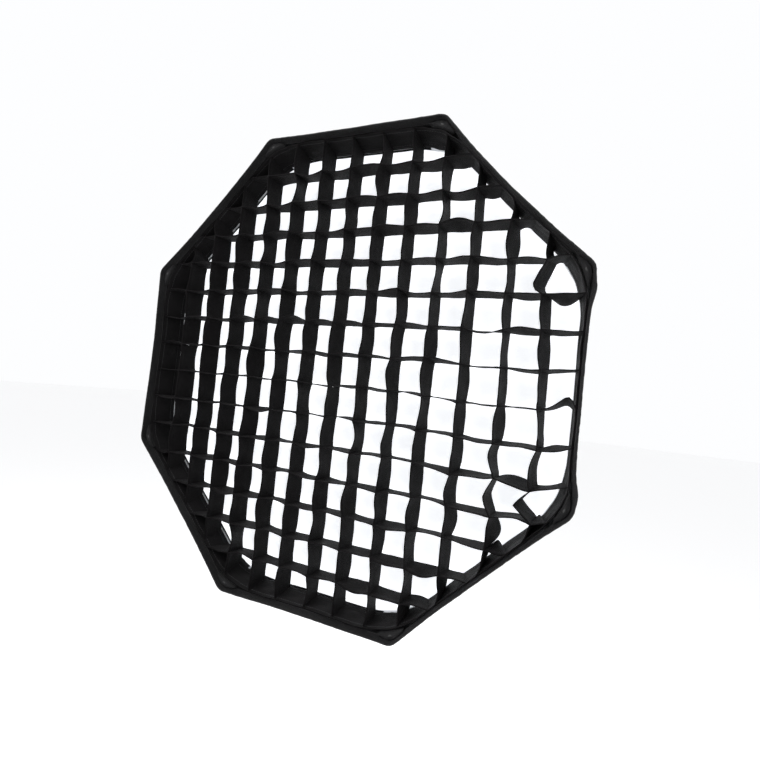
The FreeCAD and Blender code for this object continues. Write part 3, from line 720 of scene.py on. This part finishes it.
def reach_at(loop, place, axis, sign):
    """Where a strip at this place meets the loop, on the positive or the negative side."""
    other = 1 - axis
    half = loop[loop[:, other] * sign > 0]
    order = np.argsort(half[:, axis])
    return float(np.interp(place, half[order, axis], half[order, other]))


def crossing(i, j, f):
    """The crossing's offset in x and z. f runs from 0 at the front edge to 1 at the back."""
    weight = 1 - f
    front = 0.00145 * CROSS[0, :, i, j]
    back = 0.00045 * CROSS[1, :, i, j]
    lean = 0.0057 * (max(XS[i], 0) / 0.31) ** 3
    x = front[0] * weight + (back[0] + lean) * f
    z = front[1] * weight + back[1] * f
    dx, dz = DRAGGED.get((i, j), (0, 0))
    share = (1 - 0.35 * f) * 0.001
    return x + dx * share, z + dz * share


def buckle(upright, index, segment, f, own):
    """How far a segment bulges at each row, in metres, where along it, and how peaked the fold is."""
    front, back, skew, peak = own.normal(0, 2.3), own.normal(0, 1.3), 1.0, 0
    if (upright, index, segment) in BENT:
        front, back, skew = BENT[(upright, index, segment)]
        peak = min(1, abs(front) / 18) if abs(back) > 6 else 0
    return (front * (1 - f) ** 1.2 + back * f) * 0.001, skew, peak


def strip_line(upright, index, f, low, high, others, crossed, own):
    """Where the strip's columns lie along it, how far they stand off sideways, and which are slots."""
    at, lateral, slots = [low - END_LAP], [0 * f], []

    def span(end, shift_end, segment):
        """The columns up to the next crossing or end, with the strip's buckle between."""
        twist = own.normal(0, 0.00045)
        start, shift = at[-1], lateral[-1]
        bulge, skew, peak = buckle(upright, index, segment, f, own)
        for m in range(1, SEGMENT):
            t = m / SEGMENT
            shape = math.sin(math.pi * t**skew)
            shape += peak * (1 - abs(2 * t**skew - 1) - shape) * 0.8
            second = math.sin(2 * math.pi * t) * twist
            at.append(start + (end - start) * t)
            lateral.append(shift + (shift_end - shift) * t + shape * bulge + second * (1 - f))

    for j in crossed:
        if upright:
            side_shift, along_shift = crossing(index, j, f)
        else:
            along_shift, side_shift = crossing(j, index, f)
        span(others[j] + along_shift - SLOT, side_shift, j)
        slots.append(len(at))
        for edge in (-SLOT, SLOT):
            at.append(others[j] + along_shift + edge)
            lateral.append(side_shift)
    span(high + END_LAP, 0 * f, crossed[-1] + 1)
    at.append(high + END_LAP)
    lateral.append(0 * f)
    return np.array(at), np.array(lateral), slots


def make_strip(upright, index, rows, loops):
    places, others = (XS, ZS) if upright else (ZS, XS)
    place = places[index]
    f = (rows - GRID_FRONT) / (GRID_BACK - GRID_FRONT)
    low, high = (np.array([reach_at(loop, place, 0 if upright else 1, sign) for loop in loops])
                 for sign in (-1, 1))
    crossed = [j for j, c in enumerate(others) if low.max() + 0.004 < c < high.min() - 0.004]
    own = np.random.default_rng(500 + index + (100 if upright else 0))
    at, lateral, slots = strip_line(upright, index, f, low, high, others, crossed, own)
    n_cols = len(at)
    ff = np.broadcast_to(f, at.shape)
    yy = np.broadcast_to(rows, at.shape).copy()
    # The free front edge rises and falls a little between the crossings.
    from_end = np.minimum(np.arange(n_cols), n_cols - 1 - np.arange(n_cols))[:, None]
    rise = 0.00055 + 0.00050 * waves(np.stack([at, np.full_like(at, place * 3)], -1), 0.05, 700 + index)
    yy += (1 - ff) ** 2 * rise * np.clip(from_end / 4, 0, 1)
    rumple = 0.00022 * waves(np.stack([at, yy, np.full_like(at, place)], -1), 0.018, 900 + index)
    side = place + (lateral + rumple * np.clip(from_end / 3, 0, 1))
    middle = np.stack([side, yy, at] if upright else [at, yy, side], -1)
    normal = unit(np.cross(np.gradient(middle, axis=0), np.gradient(middle, axis=1)))
    # Hems at both edges, and the cloth gathered at each crossing.
    hem = np.where(ff < 0.16, 0.00028, 0.0) + np.where(ff > 0.86, 0.00014, 0.0)
    soft_edge = np.where((ff < 0.01) | (ff > 0.99), 0.62, 1.0)
    gathered = sum(bump(at[:, :1], others[j], 0.0032) for j in crossed)
    half = (0.00050 + hem + 0.00045 * gathered * own.uniform(0.5, 1.3, (n_cols, 1))) * soft_edge
    # Half-lap slots: the uprights are cut from the front, the level strips from the back.
    keep = np.ones((n_cols - 1, len(rows) - 1), bool)
    cut = slice(None, len(rows) // 2) if upright else slice(len(rows) // 2, None)
    for c in slots:
        keep[c, cut] = False
    kind = "upright" if upright else "level"
    name = "%s_strip_%02d" % (kind, index + 1)
    piece = thick_sheet(name, middle, normal, half, grid_uv(at, yy), [GRID_CLOTH], keep=keep)
    group = int(abs(index - (len(places) - 1) / 2))
    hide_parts("grid_%s_strips_%d" % (kind, group))
    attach(piece, "grid")


def make_grid():
    rows = GRID_FRONT + (GRID_BACK - GRID_FRONT) * STRIP_ROWS
    loops = [band_loop(1600, y, 0.0016) for y in rows]
    for upright, places in ((True, XS), (False, ZS)):
        for index in range(len(places)):
            make_strip(upright, index, rows, loops)


# ---------------------------------------------------------------- diffuser and baffle
def disc(name, y, loop, count, materials, dent, seed, wrinkle):
    """A cloth stretched across a closed loop, with light tension folds towards the loop."""
    angles = np.arctan2(loop[:, 1], loop[:, 0])
    order = np.argsort(angles)
    radii = np.hypot(loop[:, 0], loop[:, 1])
    a, b = np.meshgrid(np.linspace(-1, 1, count), np.linspace(-1, 1, count), indexing="ij")
    f = np.maximum(np.abs(a), np.abs(b))
    angle = np.arctan2(b, a)
    reach = f * np.interp(angle, angles[order], radii[order], period=2 * math.pi)
    middle = np.stack([reach * np.cos(angle), 0 * f, reach * np.sin(angle)], -1)
    flat = middle[..., [0, 2]]
    pull = np.cos(SIDES * (angle - HALF)) * 0.5 + 0.5
    folds = waves(np.stack([np.cos(angle) * 6, np.sin(angle) * 6], -1), 1.1, seed) * f**3 * (1 - f**8)
    level = 0.8 * waves(flat, 0.2, seed + 1) * (1 - f**8)
    middle[..., 1] = y + dent * (1 - f**2) + wrinkle * (folds * (0.4 + pull) + level)
    normal = np.zeros_like(middle)
    normal[..., 1] = -1
    return thick_sheet(name, middle, normal, DISC_T / 2, flat, materials)


def make_diffuser():
    loop = band_loop(400, DIFFUSER_Y, 0.0014)
    cloth = disc("diffuser_cloth", DIFFUSER_Y, loop, 91, [DIFFUSER, BAFFLE_CLOTH], 0.0035, 31, 0.0006)
    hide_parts("front_diffuser")
    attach(cloth, "diffuser")
    make_band("diffuser_band", "diffuser_border", DIFFUSER_TAPE, "diffuser", 71, 0.35,
              DIFFUSER, WHITE_THREAD)
    tape_strips("diffuser_loop_strips", "diffuser_loop_tape", DIFFUSER_LOOPS, LOOP_DEPTH, LOOPS, "diffuser")


def octagon_loop(apothem, count, rounding):
    """A flat octagon with rounded corners and drawn-in sides: its x and z, and its outward normals."""
    u = once_round(count)
    side = np.floor(u + 0.5).astype(int) % SIDES
    s = 2 * (u + 0.5 - np.floor(u + 0.5)) - 1
    straight = (apothem - rounding) * math.tan(HALF)
    d = s * (straight + rounding * HALF)
    phi = np.clip((np.abs(d) - straight) / rounding, 0, HALF)
    angle = side * 2 * HALF
    n = np.stack([np.cos(angle), np.sin(angle)], -1)
    t = np.stack([-np.sin(angle), np.cos(angle)], -1)
    sign = np.sign(d)[:, None]
    normal = n * np.cos(phi)[:, None] + t * sign * np.sin(phi)[:, None]
    xz = np.where((phi > 0)[:, None], n * (apothem - rounding) + t * sign * straight + rounding * normal,
                  n * apothem + t * d[:, None])
    return xz - normal * (0.006 * (1 - s**2))[:, None], normal


def make_baffle():
    loop, normal = octagon_loop(BAFFLE_APOTHEM, 320, 0.012)
    cloth = disc("baffle_cloth", BAFFLE_Y, loop, 61, [BAFFLE_CLOTH], -0.0025, 51, 0.0005)
    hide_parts("inner_baffle")
    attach(cloth, "softbox")
    # The hem: a folded white border.
    inward = np.linspace(0.0, 0.011, 5)
    edge = loop[:, None] - normal[:, None] * inward[:, None]
    middle = np.stack([edge[..., 0], 0 * edge[..., 0], edge[..., 1]], -1)
    middle[..., 1] = BAFFLE_Y + 0.00005 + 0.0002 * waves(edge, 0.03, 53)
    up = np.zeros_like(middle)
    up[..., 1] = -1
    uv = grid_uv(np.linspace(0, 1.2, len(loop) + 1)[:, None], inward[None, :])
    hem = thick_sheet("baffle_hem", middle, up, 0.0005, uv, [BAFFLE_CLOTH], closed=True)
    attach(hem, "softbox")
    lines = [(looped(middle[:, 3] + up[:, 3] * sign * 0.0005), looped(up[:, 3] * sign)) for sign in (1, -1)]
    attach(stitches("baffle_stitches", lines, WHITE_THREAD), "softbox")
    make_webbing()


def make_webbing():
    """An elastic strap beside each rod, from a snap on the baffle to the shell."""
    start = BAFFLE_APOTHEM / math.cos(HALF) - 0.018
    end = wall_radius(STRAP_Y, PANEL_T) / math.cos(HALF) - 0.0095
    f, v = np.meshgrid(np.linspace(0, 1, 20), np.linspace(-1, 1, 7), indexing="ij")
    along = start + (end - start) * f
    side = 0.015 + v * 0.0078 * (1 - 0.10 * np.sin(math.pi * f))
    parts = []
    for k in range(SIDES):
        out_dir, side_dir = corner_point(k)
        middle = out_dir * along[..., None] + side_dir * side[..., None]
        ripple = 0.0001 * waves(middle, 0.03, 300 + k)
        middle[..., 1] = BAFFLE_Y + 0.0010 + 0.0006 * np.sin(math.pi * f) + ripple
        up = np.zeros_like(middle)
        up[..., 1] = 1
        parts.append(sheet_parts(middle, up, np.full(f.shape, 0.00035), grid_uv(along, v * 0.008)))
    webbing = join_parts("baffle_webbing", parts, ELASTIC)
    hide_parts("baffle_straps")
    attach(webbing, "softbox")


# ---------------------------------------------------------------- build
for panel_number in range(SIDES):
    make_panel(panel_number)
corner_seams()
fold_tape("rim_tape", RIM_Y, 1, 0.011, 0.0029, "rim_binding", 5)
fold_tape("rear_tape", REAR_Y, -1, 0.008, -0.0006, "rear_binding", 6)
tape_strips("grid_hook_strips", "grid_hook_tape", GRID_TAPE, HOOK_DEPTH, HOOKS, "softbox")
tape_strips("diffuser_hook_strips", "diffuser_hook_tape", DIFFUSER_TAPE, HOOK_DEPTH, HOOKS, "softbox")
make_pockets()
make_baffle()
make_diffuser()
tape_strips("grid_loop_strips", "grid_loop_tape", GRID_TAPE, LOOP_DEPTH, LOOPS, "grid")
make_band("grid_band", "grid_border", (GRID_FRONT, GRID_BACK), "grid", 41, 1.0, BAND_CLOTH,
          THREAD)
make_grid()


# ---------------------------------------------------------------- stage, light and camera
FLOOR_SIZE, FLOOR_LEVEL = 30.0, -1.25
WHITE = 0.96
CAMERA_PLACE = (0.4361, -1.0490, -0.0347)
CAMERA_LOOK = (-0.44337, 0.89577, 0.03183)
CAMERA_RIGHT = (0.89279, 0.43818, 0.10449)
SENSOR, LENS = 36.0, 25.56


def make_stage():
    mesh = bpy.data.meshes.new("floor")
    corners = [(-1, -1), (1, -1), (1, 1), (-1, 1)]
    points = [(x * FLOOR_SIZE, y * FLOOR_SIZE, FLOOR_LEVEL) for x, y in corners]
    mesh.from_pydata(points, [], [(0, 1, 2, 3)])
    mesh.materials.append(Finish("floor_paper", (WHITE, WHITE, WHITE), 0.9).material)
    floor = bpy.data.objects.new("floor", mesh)
    bpy.context.scene.collection.objects.link(floor)
    world = bpy.data.worlds.new("studio")
    world.use_nodes = True
    background = world.node_tree.nodes["Background"]
    background.inputs["Color"].default_value = (0.985, 0.99, 1.0, 1)
    background.inputs["Strength"].default_value = 1.0
    bpy.context.scene.world = world


def area_light(name, place, aim, size, power):
    light = bpy.data.lights.new(name, "AREA")
    light.shape = "DISK"
    light.size, light.energy = size, power
    lamp = bpy.data.objects.new(name, light)
    lamp.location = place
    lamp.rotation_mode = "QUATERNION"
    lamp.rotation_quaternion = (Vector(aim) - Vector(place)).to_track_quat("-Z", "Y")
    bpy.context.scene.collection.objects.link(lamp)


def make_camera():
    """The photograph's view: a wide lens close to the open front, right of the axis, rolled a little."""
    data = bpy.data.cameras.new("camera")
    data.sensor_width, data.lens = SENSOR, LENS
    camera = bpy.data.objects.new("camera", data)
    look = Vector(CAMERA_LOOK).normalized()
    right = Vector(CAMERA_RIGHT)
    right = (right - look * right.dot(look)).normalized()
    up = right.cross(look)
    rotation = Matrix((right, up, -look)).transposed()
    camera.matrix_world = Matrix.Translation(CAMERA_PLACE) @ rotation.to_4x4()
    bpy.context.scene.collection.objects.link(camera)
    bpy.context.scene.camera = camera


bpy.context.scene.view_settings.view_transform = "Standard"
make_stage()
area_light("key", (-0.9, -1.9, 1.7), (0, -0.3, 0), 1.6, 60)
area_light("fill", (1.9, -1.5, 0.5), (0, -0.3, 0), 1.4, 22)
area_light("rear", (0.8, 1.8, 1.2), (0, 0, 0), 1.6, 45)
make_camera()
